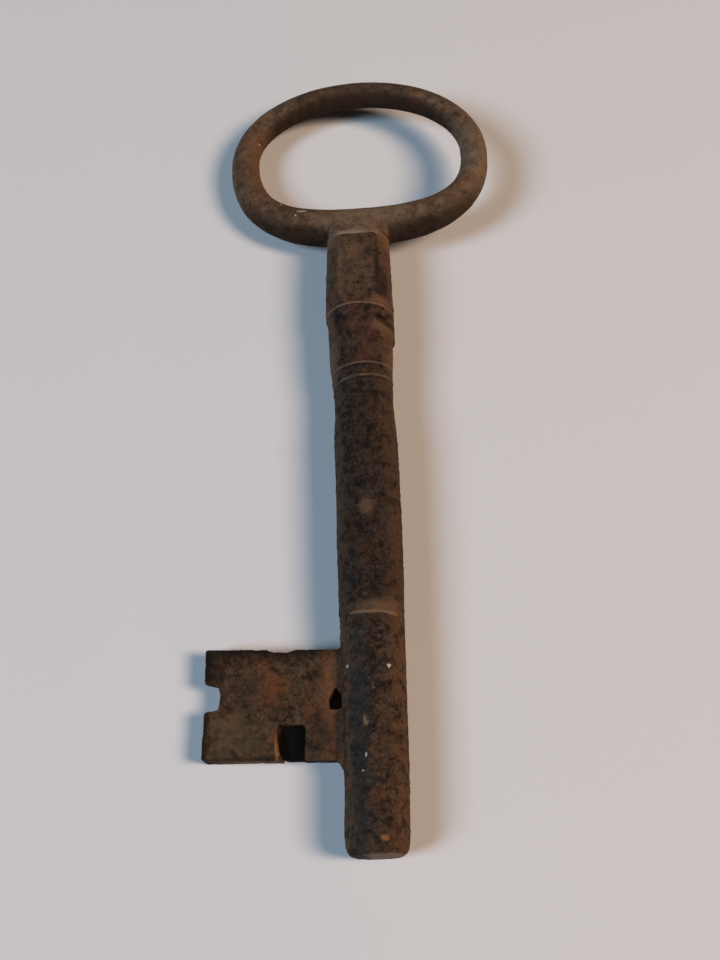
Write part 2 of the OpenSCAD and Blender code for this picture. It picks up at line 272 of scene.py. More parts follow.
def note_relief(piece, joints=()):
    """Stores the way each vertex faces and its height above its surroundings, in shares of the
    reach. Near the joints, which were filed flush, the height counts as none."""
    mesh = piece.data
    count = len(mesh.vertices)
    places, normals = np.empty(count * 3), np.empty(count * 3)
    mesh.vertices.foreach_get("co", places)
    mesh.vertices.foreach_get("normal", normals)
    places, normals = places.reshape(-1, 3), normals.reshape(-1, 3)
    ends = np.empty(len(mesh.edges) * 2, np.int64)
    mesh.edges.foreach_get("vertices", ends)
    one, other = ends.reshape(-1, 2).T
    neighbours = np.bincount(ends, minlength=count)
    mean = places
    for _ in range(RELIEF_ROUNDS):
        sums = [np.bincount(one, mean[other, axis], count) + np.bincount(other, mean[one, axis], count)
                for axis in range(3)]
        mean = np.stack(sums, axis=1) / neighbours[:, None]
    height = ((places - mean) * normals).sum(axis=1) / (RELIEF_REACH * MM)
    for joint in joints:
        height[np.abs(places[:, 1] / MM - joint) < JOINT_REACH] = 0
    for label, kind, field, values in (("facing", "FLOAT_VECTOR", "vector", normals.ravel()),
                                       ("relief", "FLOAT", "value", height)):
        stored = mesh.attributes.new(label, kind, "POINT")
        stored.data.foreach_set(field, values.astype(np.float32))
    print(f"{piece.name}: {count} vertices, relief {height.min():.1f} to {height.max():.1f}")


# %% [markdown]
# ## The stem
# The stem is a bellied bar. From the lap joint it swells to 10 mm, holds that, falls to a waist and
# rises again as a moulding that meets the collar. It is turned from one outline, and its rings
# lie closer together at the two fine cut lines. Its upper end is tucked under the collar, so no
# seam shows where the two were filed flush.

# %% Stem outline
RING_STEP, FINE_STEP, NEAR_LINE = 0.16, 0.08, 1
STEM_D, LIP_D, WAIST_D, RISE_D = 9.88, 9.6, 9.3, 10.3
TUCK_L, TUCK_IN = 0.5, 0.5
belly_y, belly_end, waist_y = lap_y + 12, lap_y + 28, lap_y + 35.3


def stem_radius(y):
    """Radius of the stem at a station."""
    if y < belly_y:
        return mix(LIP_D, STEM_D, smooth_step(lap_y, belly_y, y)) / 2
    if y < waist_y:
        return mix(STEM_D, WAIST_D, smooth_step(belly_end, waist_y, y)) / 2
    tuck = TUCK_IN * smooth_step(collar_y, collar_y + TUCK_L, y)
    return mix(WAIST_D, RISE_D, smooth_step(waist_y, collar_y, y)) / 2 - tuck


def rings(start, end, near_lines=()):
    """Stations from start to end, closer together within a millimetre of each line."""
    stations = [start]
    while stations[-1] < end - FINE_STEP:
        near = any(abs(stations[-1] - line) < NEAR_LINE for line in near_lines)
        stations.append(stations[-1] + (FINE_STEP if near else RING_STEP))
    return stations[:-1] + [end]


print("stem radii:", [round(stem_radius(y), 2) for y in (lap_y, belly_y, belly_end, waist_y, collar_y)])

# %% [markdown]
# ## Worn ends and cut lines
# The lap joint leans, so the rings near it are leaned too, and its lip sags on the right. The two
# cuts run askew, so each is pressed in vertex by vertex: the nearer a vertex lies to the slanting
# line, the deeper it is drawn in towards the axis.

# %% Lean, sag and cuts
LAP_LEAN, LEAN_REACH = math.radians(12), 5
LIP_SAG, SAG_START, SAG_FULL_Z = 1.0, 1.6, 4
CUT_LINES = [(waist_y + 3.35, 5.0), (waist_y + 5.55, 3.4)]
CUT_HALF, CUT_DEPTH = 0.26, 0.22


def near_lap(vert):
    """1 at the lap joint, falling to 0 at the end of the lean's reach."""
    return 1 - smooth_step(0, LEAN_REACH, abs(vert.co.y - lap_y))


def lean_end(bm):
    """Leans the rings near the lap joint, so that its plane tilts towards the back of the key."""
    for vert in bm.verts:
        vert.co.y -= near_lap(vert) * math.tan(LAP_LEAN) * (vert.co.z - LIP_D / 2)


def sag_end(bm):
    """Lets the stem's lip over the lap sag down on its right, where it was hammered out of true."""
    for vert in bm.verts:
        right = smooth_step(SAG_START, STEM_D / 2, vert.co.x)
        vert.co.y -= near_lap(vert) * LIP_SAG * right * max(0, vert.co.z / SAG_FULL_Z)


def draw_in(vert, depth):
    """Moves a vertex by a depth towards the key's axis."""
    radius = math.hypot(vert.co.x, vert.co.z)
    if radius > depth:
        vert.co.x *= 1 - depth / radius
        vert.co.z *= 1 - depth / radius


def press_cut(bm, y, skew):
    """Presses a V cut round the stem at a station, askew by some degrees."""
    for vert in bm.verts:
        off = abs(vert.co.y - y - vert.co.x * math.tan(math.radians(skew)))
        if off < CUT_HALF:
            draw_in(vert, CUT_DEPTH * (1 - off / CUT_HALF))


print("cut lines at", [round(line[0], 2) for line in CUT_LINES], "and the lap at", round(lap_y, 2))

# %% Stem
STEM_SIDES = 200


def make_stem():
    stations = rings(lap_y, collar_y + TUCK_L, [line[0] for line in CUT_LINES] + [lap_y])
    bm = turned(outline_along(stem_radius, stations, RING_STEP), STEM_SIDES)
    for y, skew in CUT_LINES:
        press_cut(bm, y, skew)
    sag_end(bm)
    lean_end(bm)
    weather(bm, 1)
    return settle(bm, "stem_dressed")


stem = make_stem()
note_relief(stem, [collar_y])

# %% [markdown]
# ## The pin end
# The lower length carries the bit and ends in the pin that turned in the lock's far plate. Its
# end face is worn flat, with a rounded edge. It is turned like the stem. Just below the lap its
# front is dished a little, so the stem's lip stands proud there and catches the light.

# %% Pin end
PIN_D, SEAT_D, LAP_D, PIN_SIDES = 9.0, 9.15, 9.5, 196
LEAD_L, LEAD_D, TIP_ROUND, TIP_FINE = 3.2, 8.4, 1.2, 0.5
SEAT_START, SWELL_START = 0.4, 2
LAP_DISH, DISH_L, DISH_LIP = 0.34, 2.4, 0.1


def pin_radius(y):
    """Radius of the pin end at a station."""
    lead = mix(LEAD_D, PIN_D, smooth_step(0, LEAD_L, y - tip_y)) / 2
    round_off = max(0, TIP_ROUND - (y - tip_y))
    corner = TIP_ROUND - math.sqrt(TIP_ROUND ** 2 - round_off ** 2)
    swell = mix(SEAT_D - PIN_D, LAP_D - PIN_D, smooth_step(SWELL_START, lap_y, y)) / 2
    return lead - corner + swell * smooth_step(-SEAT_START, SEAT_START, y)


def dish_front(bm):
    """Dishes the front just below the lap, most at the top and not at all at the sides."""
    for vert in bm.verts:
        near = smooth_step(lap_y - DISH_L, lap_y - DISH_LIP, vert.co.y)
        facing = max(0, vert.co.z / (LAP_D / 2))
        if near * facing > 0:
            draw_in(vert, LAP_DISH * near * facing ** 2)


def make_pin_end():
    stations = rings(tip_y, lap_y, [tip_y + TIP_FINE, lap_y])
    bm = turned(outline_along(pin_radius, stations, RING_STEP), PIN_SIDES)
    dish_front(bm)
    lean_end(bm)
    weather(bm, 2)
    return settle(bm, "pin_end_dressed")


pin_end = make_pin_end()
note_relief(pin_end)

# %% [markdown]
# ## The collar
# The collar is a low band under the neck. Its lower lip was filed askew: the band is nearly
# gone on the bit's side and long on the other, where wear has hollowed it above the lip. It is
# turned at its full diameter and then filed down, vertex by vertex, below the slanting lip.

# %% Collar
COLLAR_D, FILED_SWELL = 11.1, 0.4
BAND_SHORT, BAND_LONG, LIP_ROUND = 0.3, 4.8, 0.7
HOLLOW_DEPTH, HOLLOW_TURN, HOLLOW_SPREAD = 0.42, 44, 26
HOLLOW_START, HOLLOW_FULL, HOLLOW_FADE, HOLLOW_END = 0.2, 1.1, 1, 0.2
FINE_LINES, CAP_STEP, COLLAR_SIDES = (1, 3, 5), 0.2, 220


def body_radius(y):
    """Radius of the collar where its band is filed away."""
    tuck = TUCK_IN * (1 - smooth_step(collar_y - TUCK_L, collar_y, y))
    top_d = mix(RISE_D, COLLAR_D, FILED_SWELL)
    return mix(RISE_D, top_d, (y - collar_y) / (neck_y - collar_y)) / 2 - tuck


def lip_at(x):
    """Station of the band's slanting lip at a place across the key."""
    return neck_y - mix(BAND_SHORT, BAND_LONG, 0.5 + x / COLLAR_D)


def file_band(bm):
    """Files the collar down below its lip, and wears a hollow above it on the right of the front."""
    for vert in bm.verts:
        x, y, z = vert.co
        radius = math.hypot(x, z)
        lip_y = lip_at(x)
        filed = 1 - smooth_step(lip_y - LIP_ROUND, lip_y, y)
        turn = math.degrees(math.atan2(x, z))
        beside = math.exp(-((turn - HOLLOW_TURN) / HOLLOW_SPREAD) ** 2)
        above = smooth_step(lip_y + HOLLOW_START, lip_y + HOLLOW_FULL, y)
        below = 1 - smooth_step(neck_y - HOLLOW_FADE, neck_y - HOLLOW_END, y)
        depth = filed * (COLLAR_D / 2 - body_radius(y)) + HOLLOW_DEPTH * beside * (above * below)
        if depth > 0:
            draw_in(vert, depth * radius / (COLLAR_D / 2))


def make_collar():
    stations = rings(collar_y - TUCK_L, neck_y, [collar_y + line for line in FINE_LINES])
    bm = turned(outline_along(lambda y: COLLAR_D / 2, stations, CAP_STEP), COLLAR_SIDES)
    file_band(bm)
    weather(bm, 1)
    return settle(bm, "collar_dressed")


collar = make_collar()
note_relief(collar, [collar_y])

# %% [markdown]
# ## The neck
# The neck was hammered flat in front and behind, and more lightly at its corners. It starts as
# a turned cone. Every vertex outside a flat's plane is then drawn in along its radius until it
# lies on the plane, which is what a hammer on a round bar does. A few rounds of smoothing wear the
# ridges between the flats.

# %% Neck
NECK_LOW_W, NECK_TOP_W = 11.2, 10.6
NECK_LOW_T, NECK_TOP_T = high["neck"].z - low["neck"].z, 8.7
CORNER_FLAT, NEAR_AXIS, TINY = 0.97, 0.5, 0.01
NECK_SIDES, NECK_WEAR = 216, 3


def along_neck(start, end, y):
    """A size of the neck at a station, from its size at the collar and at the bow."""
    return mix(start, end, (y - neck_y) / (bow_y - neck_y))


def flatten(bm, thickness_at, width_at):
    """Draws the sides in to the front and back flats and to four slighter ones at the corners."""
    for vert in bm.verts:
        x, z = vert.co.x, vert.co.z
        if math.hypot(x, z) < NEAR_AXIS:
            continue
        half_t = thickness_at(vert.co.y) / 2
        corner = width_at(vert.co.y) / 2 * CORNER_FLAT
        slant = (abs(x) + abs(z)) / math.sqrt(2)
        share = min(1, half_t / max(abs(z), TINY), corner / slant)
        vert.co.x *= share
        vert.co.z *= share


def flattened(stations, along, widths, thicknesses, rounds):
    """A bar turned to its widths, hammered flat to its thicknesses and worn some rounds over."""
    bm = turned(outline_along(lambda y: along(*widths, y) / 2, stations, CAP_STEP), NECK_SIDES)
    flatten(bm, lambda y: along(*thicknesses, y), lambda y: along(*widths, y))
    wear(bm, rounds)
    return bm


def make_neck():
    stations = rings(neck_y, bow_y, [neck_y, bow_y])
    bm = flattened(stations, along_neck, (NECK_LOW_W, NECK_TOP_W), (NECK_LOW_T, NECK_TOP_T), NECK_WEAR)
    weather(bm, 4, wave=0.05)
    return settle(bm, "neck_dressed")


neck = make_neck()
note_relief(neck, [bow_y])

# %% [markdown]
# ## The brazed saddle
# Between the neck's end and the bow there is a rounded ridge of filler. It is a short turned
# ring whose size runs from the neck's down to the bow's root, flattened as the neck is. Its first
# edge stands a little proud of the neck, and a light line painted across the front there is partly
# rubbed metal and partly a painted highlight.

# %% Saddle
STUB_W, STUB_T = 10.5, 7.6
SADDLE_START, SADDLE_PAST, SADDLE_IN, SADDLE_WEAR = 0.5, 0.4, 0.1, 2
PROUD, PROUD_L = 0.03, 0.5
saddle_end = high["bow_braze"].y


def along_saddle(start, end, y):
    """A size of the saddle at a station: proud of the neck at first, and then down to the bow's root."""
    rise, fall = smooth_step(bow_y - SADDLE_START, bow_y, y), 1 - smooth_step(bow_y, bow_y + PROUD_L, y)
    taper = mix(start, end, smooth_step(bow_y, saddle_end + SADDLE_PAST, y))
    return taper - SADDLE_IN + 2 * PROUD * rise * fall


def make_saddle():
    stations = rings(bow_y - SADDLE_START, saddle_end, [bow_y])
    bm = flattened(stations, along_saddle, (NECK_TOP_W, STUB_W), (NECK_TOP_T, STUB_T), SADDLE_WEAR)
    weather(bm, 5, wave=0.04, pit=0.05)
    return settle(bm, "bow_braze_dressed")


saddle = make_saddle()
note_relief(saddle, [bow_y])

# %% [markdown]
# ## The bow
# The bow is round bar bent to an oval that is fuller on the neck's side, and the bar swells where
# it meets the neck. A flat sheet of squares is rolled into a tube and the tube is bent round the
# oval, whose half width and heights come from the frame. A flaring stub joins it to the neck.
# One skin wrapped round both, and smoothed, gives the soft root that forging leaves. The left
# bar is a little thicker and stands further in than the right one, as hand bending left it.

# %% The bow's bar
BAR_D, ROOT_D, SWELL_ANGLE, ROOT_TURN = 4.55, 6.55, 58, 270
FAR_POWER, NEAR_POWER = 2.04, 2.49
EYE_NEAR, BOW_STAND = 10.8, 1.0
SLACK_TURN, SLACK_SPREAD, SLACK_IN, SLACK_D = 197, 26, 0.5, 0.35
BAR_STEPS, BAR_SIDES, SHEET_SEAM = 240, 32, 0.01
near_half = EYE_NEAR + ROOT_D / 2
middle_y = bow_y + BOW_STAND + ROOT_D / 2 + near_half
far_half = bow_far_y - middle_y - BAR_D / 2
side_half = bow_half - BAR_D / 2


def power(value, exponent):
    """A power of the value's size, with the value's own sign."""
    return math.copysign(abs(value) ** exponent, value)


def slack(turn):
    """Share of the left bar's departure from the oval at a turn."""
    return math.exp(-((turn % 360 - SLACK_TURN) / SLACK_SPREAD) ** 2)


def bow_place(turn):
    """Point of the bow's centre line at a turn in degrees, from its widest place on the right."""
    across, along = math.cos(math.radians(turn)), math.sin(math.radians(turn))
    full = NEAR_POWER if along < 0 else FAR_POWER
    reach = near_half if along < 0 else far_half
    inward = SLACK_IN * slack(turn)
    return Vector((side_half * power(across, 2 / full) - inward * across,
                   middle_y + reach * power(along, 2 / full) - inward * along, 0))


def bar_radius(turn):
    """Radius of the bar, which swells towards its root at the neck."""
    off = min(abs(turn - ROOT_TURN), abs(turn + 360 - ROOT_TURN)) / SWELL_ANGLE
    return (mix(BAR_D, ROOT_D, math.exp(-off * off)) + SLACK_D * slack(turn)) / 2


def bent_bar():
    """The bow's bar as a tube rolled from a sheet of squares."""
    bm = bmesh.new()
    bmesh.ops.create_grid(bm, x_segments=BAR_STEPS, y_segments=BAR_SIDES, size=0.5)
    for vert in bm.verts:
        turn = 360 * (vert.co.x + 0.5)
        angle = math.tau * (vert.co.y + 0.5)
        ahead = (bow_place(turn + 1) - bow_place(turn - 1)).normalized()
        outward = Vector((ahead.y, -ahead.x, 0))
        ring = math.cos(angle) * outward + math.sin(angle) * Vector((0, 0, 1))
        vert.co = bow_place(turn) + bar_radius(turn) * ring
    bmesh.ops.remove_doubles(bm, verts=bm.verts, dist=SHEET_SEAM)
    return bm


print("half sizes of the bow's centre line:", [round(half, 2) for half in (side_half, near_half, far_half)])

# %% The bow's root
STUB_FLARE, STUB_SET, STUB_SHIFT, STUB_SIDES = 0.4, 0.4, -0.25, 64
BOW_SQUARE, BOW_WEAR = 0.172, 8
ROOT_HALF_W, ROOT_L, ROOT_WEAR = 9, 6, 40


def add_stub(bm):
    """Adds the stub, which runs from the neck's end into the bow's root."""
    length = BOW_STAND + ROOT_D / 2
    stub = bmesh.ops.create_cone(bm, cap_ends=True, segments=STUB_SIDES, depth=length,
                                 radius1=STUB_W / 2 + STUB_FLARE, radius2=STUB_W / 2)["verts"]
    bmesh.ops.rotate(bm, verts=stub, cent=(0, 0, 0), matrix=Matrix.Rotation(math.radians(90), 3, "X"))
    bmesh.ops.translate(bm, verts=stub, vec=(STUB_SHIFT, bow_y + STUB_SET + length / 2, 0))
    for vert in stub:
        half_t = mix(STUB_T, ROOT_D, smooth_step(bow_y, bow_y + length, vert.co.y)) / 2
        vert.co.z = min(max(vert.co.z, -half_t), half_t)


def make_bow():
    bm = bent_bar()
    add_stub(bm)
    bmesh.ops.recalc_face_normals(bm, faces=bm.faces)
    bm = even_skin(bm, BOW_SQUARE, BOW_WEAR)
    root = [vert for vert in bm.verts if abs(vert.co.x) < ROOT_HALF_W and vert.co.y < bow_y + ROOT_L]
    wear(bm, ROOT_WEAR, root)
    weather(bm, 6, wave=0.05, pit=0.035, grain=0.008, bent=False)
    return settle(bm, "bow_dressed")


bow = make_bow()
note_relief(bow)

# %% [markdown]
# ## The bit
# The bit is a plate cut to pass the lock's wards: a slot in its near edge, a notch in its outer
# edge and a hole at the root that the brazing left open. Its outline is a few corners joined by
# straight edges, extruded through the thickness and then thickened towards the outer edge. The
# outline is drawn on the bit's own straight axes and turned by its skew afterwards.

# %% The bit's outline
BIT_SKEW = math.radians(1.7)
BIT_SET, BIT_L, BIT_REACH = 1.8, 15.9, 24.2
EDGE_T, ROOT_T, ROOT_OVERLAP = 3.7, 2.5, 1
root_x = -SEAT_D / 2
bit_middle = BIT_SET + BIT_L / 2


def bit_thickness(x):
    """Thickness of the bit at a place across the key."""
    return mix(ROOT_T, EDGE_T, min(max((root_x - x) / (BIT_REACH + root_x), 0), 1))


def bit_corners():
    """Corners of the bit from the root's near end round to its far end, near edge at y = 0."""
    slot = [(-9.7, 0), (-9.65, 1.2), (-9.6, 4.4), (-9.95, 4.95), (-13.4, 4.95), (-13.85, 4.4),
            (-13.8, 3.0), (-13.5, 1.5), (-13.1, 0.6), (-12.7, 0)]
    near = [(-BIT_REACH + 0.05, 0), (-BIT_REACH, 0.06)]
    notch = [(-BIT_REACH - 0.1, 6.6), (-BIT_REACH + 0.1, 6.85), (-22.2, 7.1), (-22.05, 9.3), (-22.4, 10.3),
             (-BIT_REACH + 0.1, 10.6), (-BIT_REACH - 0.2, 10.9)]
    far = [(-BIT_REACH - 0.35, BIT_L - 0.3), (-BIT_REACH - 0.1, BIT_L)]
    dip = [(-15.5, BIT_L), (-15.2, BIT_L - 0.25), (-13.5, BIT_L - 0.42), (-12.3, BIT_L - 0.35),
           (-11.4, BIT_L)]
    root = root_x + ROOT_OVERLAP
    return [(root, 0)] + slot + near + notch + far + dip + [(root, BIT_L)]


def turn_with_bit(bm):
    """Turns what was drawn on the bit's own axes by its skew, about the middle of its root."""
    bmesh.ops.translate(bm, verts=bm.verts, vec=(0, BIT_SET, 0))
    bmesh.ops.rotate(bm, verts=bm.verts, cent=(root_x, bit_middle, 0),
                     matrix=Matrix.Rotation(-BIT_SKEW, 3, "Z"))


print("bit:", len(bit_corners()), "corners,", BIT_REACH, "mm from the axis,", BIT_L, "mm long")

# %% [markdown]
# ## The root's hole and the dark sheet in the slot
# The hole is a ragged little prism taken out with a Boolean modifier. A thin sheet lies in the
# bottom of the slot, just over the plate's underside, and is painted near black: it is painted
# shade, which stands in for the deep shade seen through the slot.

# %% Hole and dirt
HOLE, HOLE_T = [(-3.9, 7.15), (-6.25, 7.2), (-6.4, 8.6), (-5.35, 10.3), (-4.9, 9.6), (-3.9, 9.4)], 12
SHADE_SHEET = [(-9, 0.12), (-12.2, 0.12), (-12.9, 0.5), (-13.3, 1.2), (-14.3, 1.5), (-14.3, 5.3), (-9, 5.3)]
SHADE_SHEET_T, SHADE_SHEET_LIFT = 0.9, 0.06


def prism(corners, thickness, bm=None):
    """A straight-sided solid of an outline, astride the key's middle plane, added to bm if given."""
    bm = bm or bmesh.new()
    base = bm.faces.new([bm.verts.new((x, y, -thickness / 2)) for x, y in corners])
    top = bmesh.ops.extrude_face_region(bm, geom=[base])["geom"]
    raised = [item for item in top if isinstance(item, bmesh.types.BMVert)]
    bmesh.ops.translate(bm, verts=raised, vec=(0, 0, thickness))
    bmesh.ops.recalc_face_normals(bm, faces=bm.faces)
    return bm


def cut_hole(bm):
    """Cuts the ragged hole at the root out of a shape drawn on the bit's own axes."""
    body, tool = as_object(bm, "body"), as_object(prism(HOLE, HOLE_T), "hole")
    cut = body.modifiers.new("hole", "BOOLEAN")
    cut.operation, cut.solver, cut.object = "DIFFERENCE", "EXACT", tool
    holed = as_worked(body)
    bpy.data.objects.remove(tool)
    return holed


def add_shade_sheet(bm):
    """Adds a thin sheet in the bottom of the ward slot, which the bit's marks paint near black as painted
    shade.
    """
    before = len(bm.verts)
    prism(SHADE_SHEET, SHADE_SHEET_T, bm)
    for vert in list(bm.verts)[before:]:
        vert.co.z += SHADE_SHEET_T / 2 + SHADE_SHEET_LIFT - bit_thickness(vert.co.x) / 2


print("the hole has", len(HOLE), "corners and the sheet of painted shade", len(SHADE_SHEET))

# %% Bit
UNDERCUT, UNDERCUT_X, UNDERCUT_LOW, UNDERCUT_HIGH = 0.7, -22.1, 10, 11.2
BIT_SQUARE, BIT_WEAR = 0.13, 3


def make_bit():
    bm = prism(bit_corners(), 1)
    for vert in bm.verts:
        vert.co.z *= bit_thickness(vert.co.x)
        beside_notch = vert.co.x < UNDERCUT_X and UNDERCUT_LOW < vert.co.y < UNDERCUT_HIGH
        if beside_notch and vert.co.z < 0:
            vert.co.y += UNDERCUT
    bm = cut_hole(bm)
    # the sheet of painted shade in the slot
    add_shade_sheet(bm)
    bm = even_skin(bm, BIT_SQUARE, BIT_WEAR)
    turn_with_bit(bm)
    weather(bm, 7, pit=0.1, bent=False)
    return settle(bm, "bit_dressed")


bit = make_bit()
note_relief(bit)

# %% [markdown]
# ## The brazed root of the bit
# Brass run into the corner between the bit and the stem left a small hollow fillet all round the
# root. It is a loop round the plate that widens, step by step, towards the stem: an extrusion
# whose every step is scaled out a little more, along a quarter circle.

# %% Bit braze
BRAZE_R, BRAZE_STEPS, BRAZE_DEPTH, BRAZE_IN = 0.9, 7, 1.2, 0.05
BRAZE_SEAM, BRAZE_SQUARE, BRAZE_WEAR = 0.001, 0.12, 3


def flare(bm, cap, along, out):
    """Extrudes a rectangular cap along X and spreads its corners out by a width."""
    raised = bmesh.ops.extrude_face_region(bm, geom=[cap])["geom"]
    verts = [item for item in raised if isinstance(item, bmesh.types.BMVert)]
    bmesh.ops.delete(bm, geom=[cap], context="FACES_ONLY")
    for vert in verts:
        vert.co += Vector((along, math.copysign(out, vert.co.y), math.copysign(out, vert.co.z)))
    return next(item for item in raised if isinstance(item, bmesh.types.BMFace))


def make_bit_braze():
    bm = bmesh.new()
    half_l, half_t = BIT_L / 2 - BRAZE_IN, bit_thickness(root_x - BRAZE_R) / 2 - BRAZE_IN
    corners = ((-half_l, -half_t), (half_l, -half_t), (half_l, half_t), (-half_l, half_t))
    cap = bm.faces.new([bm.verts.new((root_x - BRAZE_R, y, z)) for y, z in corners])
    # The flares use up their cap, so a copy of the first one stays to close the narrow end.
    bmesh.ops.duplicate(bm, geom=[cap])
    quarters = [math.radians(90 * step / BRAZE_STEPS) for step in range(BRAZE_STEPS + 1)]
    for near, far in zip(quarters, quarters[1:]):
        along, out = math.sin(far) - math.sin(near), math.cos(near) - math.cos(far)
        cap = flare(bm, cap, BRAZE_R * along, BRAZE_R * out)
    flare(bm, cap, BRAZE_DEPTH, 0)
    bmesh.ops.remove_doubles(bm, verts=bm.verts, dist=BRAZE_SEAM)
    bmesh.ops.translate(bm, verts=bm.verts, vec=(0, BIT_L / 2, 0))
    bmesh.ops.recalc_face_normals(bm, faces=bm.faces)
    bm = even_skin(cut_hole(bm), BRAZE_SQUARE, BRAZE_WEAR)
    turn_with_bit(bm)
    weather(bm, 8, pit=0.08, bent=False)
    return settle(bm, "bit_braze_dressed")


bit_braze = make_bit_braze()
note_relief(bit_braze)

# %% [markdown]
# ## Which node each piece stands for
# The dressed pieces stand for the nodes of the model and ride on its one body.

# %% Ties to the frame
TIES = [(stem, "stem", "stem_iron"), (pin_end, "pin_end", "stem_iron"), (collar, "collar", "neck_iron"),
        (neck, "neck", "neck_iron"), (saddle, "bow_braze", "braze"), (bow, "bow", "bow_iron"),
        (bit, "bit", "bit_iron"), (bit_braze, "bit_braze", "braze")]
for piece, node, slot in TIES:
    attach(piece, "root")
    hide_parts(node)
print("pieces tied to the body:", len(TIES))

# %% [markdown]
# ## Writing a material as sums
# A node material is easier to read as arithmetic. A Wire stands for one socket of a node tree. Adding
# or multiplying two of them adds a Math node, and its method node adds any other kind: the
# settings are made first and the sockets are then given a value or another wire. A Mix node has a
# set of sockets for each kind of value, so the ones for colours are picked by their numbers. The
# colours themselves are picked as a screen shows them and turned into the linear values of light.

# %% Wires
MIX_SHARE, MIX_START, MIX_END, MIX_RESULT = 0, 6, 7, 2
LUMP_SHIFT = (17.3, 7.9, 3.1)


class Wire:
    """One output socket of a material's nodes, which can be reckoned with."""

    def __init__(self, tree, socket=None):
        self.tree, self.socket = tree, socket

    def node(self, kind, settings, sockets, output=0):
        """Adds a node, makes its settings, fills its sockets and returns one of its outputs."""
        added = self.tree.nodes.new(kind)
        for name, value in settings.items():
            setattr(added, name, value)
        for name, value in sockets.items():
            if isinstance(value, Wire):
                self.tree.links.new(value.socket, added.inputs[name])
            else:
                added.inputs[name].default_value = value
        return Wire(self.tree, added.outputs[output])

    def math(self, operation, *values):
        return self.node("ShaderNodeMath", {"operation": operation}, dict(enumerate(values)))

    def __add__(self, other):
        return self.math("ADD", self, other)

    def __sub__(self, other):
        return self.math("SUBTRACT", self, other)

    def __rsub__(self, other):
        return self.math("SUBTRACT", other, self)

    def __mul__(self, other):
        return self.math("MULTIPLY", self, other)

    __radd__, __rmul__ = __add__, __mul__

    def rise(self, start, end):
        """0 below start, 1 above end and an S curve between; it falls instead where start is the larger."""
        return self.node("ShaderNodeMapRange", {"interpolation_type": "SMOOTHSTEP"},
                         {"Value": self, "From Min": start, "From Max": end})

    def between(self, start, end):
        """A colour that runs from start to end as this value runs from 0 to 1."""
        return self.node("ShaderNodeMix", {"data_type": "RGBA"},
                         {MIX_SHARE: self, MIX_START: start, MIX_END: end}, MIX_RESULT)

    def blend(self, other, share):
        """This colour with a share of another one laid over it."""
        return share.between(self, other)

    def lumps(self, size, seed, detail=2.0, rough=0.5):
        """Noise from 0 to 1 at this place, in lumps of about that size."""
        shifted = self.node("ShaderNodeVectorMath", {"operation": "ADD"},
                            {0: self, 1: tuple(seed * step for step in LUMP_SHIFT)})
        return self.node("ShaderNodeTexNoise", {}, {"Vector": shifted, "Scale": 1 / size,
                                                    "Detail": detail, "Roughness": rough})


# %% Screen colours
def screen(red, green, blue):
    """A colour picked as screen values from 0 to 255, as the linear colour a shader takes. The curve's
    short straight piece next to black is left out."""
    return tuple(((value / 255 + 0.055) / 1.055) ** 2.4 for value in (red, green, blue)) + (1,)


print("a screen grey of 128 in linear light:", round(screen(128, 128, 128)[0], 3))

# %% [markdown]
# ## Marks at their places
# Wear isn't even: there is a scuff here, a black spot there and a bright line along a lip. Some
# marks paint light and shade instead: shade along edges and under an arc, and highlights along
# lips. A mark is a stretched ball in the piece's own space whose edge a noise has torn, and a line
# is a thin slice across the key, broken here and there by another noise.

# %% Marks and lines
TORN_SIZE, BREAK_SIZE, MARK_SEED = 0.8, 1.4, 5


def patch(place, middle, reach, ragged, seed):
    """1 inside an ellipsoid round middle with the given half sizes, with a ragged edge."""
    off = place.node("ShaderNodeVectorMath", {"operation": "SUBTRACT"}, {0: place, 1: middle})
    scaled = off.node("ShaderNodeVectorMath", {"operation": "DIVIDE"}, {0: off, 1: reach})
    distance = scaled.node("ShaderNodeVectorMath", {"operation": "LENGTH"}, {0: scaled}, "Value")
    torn = distance + ragged * (place.lumps(TORN_SIZE, seed, 3, 0.6) - 0.5)
    return torn.rise(1 + 0.4 * ragged, 1 - 0.5 * ragged)


def lip_line(place, y, skew, half, seed):
    """1 along a line round the key at a station, askew by some degrees and broken in places."""
    x, along = (place.node("ShaderNodeSeparateXYZ", {}, {0: place}, axis) for axis in "XY")
    off = along - y - x * math.tan(math.radians(skew))
    line = off.math("ABSOLUTE", off).rise(half * 1.6, half * 0.3)
    return line * place.lumps(BREAK_SIZE, seed, 2).rise(0.2, 0.6)


def marked(colour, place, seed, marks, lines):
    """The colour with its marks laid over it at their places, and then its lines."""
    for count, (tone, middle, reach, ragged, strength) in enumerate(marks):
        spot = patch(place, middle, reach, ragged, seed + MARK_SEED + count)
        colour = colour.blend(screen(*tone), strength * spot)
    for tone, y, skew, half, strength in lines:
        colour = colour.blend(screen(*tone), strength * lip_line(place, y, skew, half, seed))
    return colour


# %% [markdown]
# ## Old rust
# Old rust is a stack of layers: black iron, a brown crust in clumps, orange patches where it is
# younger, a cool grey bloom, dark pits, and pale spots where handling has rubbed it. Each layer
# is one blend over the last, steered by noise of its own size or by the piece's relief. Three
# layers are steered by the way each vertex faces: the flank tone on the sides, which is partly a
# painted highlight, a greyer left side painted as cool light, and painted shade on faces turned
# to the front. The rough crust hardly shines, so its specular level is low, and only the rubbed
# places are smoother.

# %% Tones along a piece
TONES_MEET = 0.8


def tones_along(tones, above, along):
    """The tones as colours. Past the station in above, the tones given there take over."""
    tints = [screen(*tone) for tone in tones]
    if above:
        station, others = above
        share = along.rise(station - TONES_MEET, station + TONES_MEET)
        tints = [share.between(tint, screen(*other)) for tint, other in zip(tints, others)]
    return tints


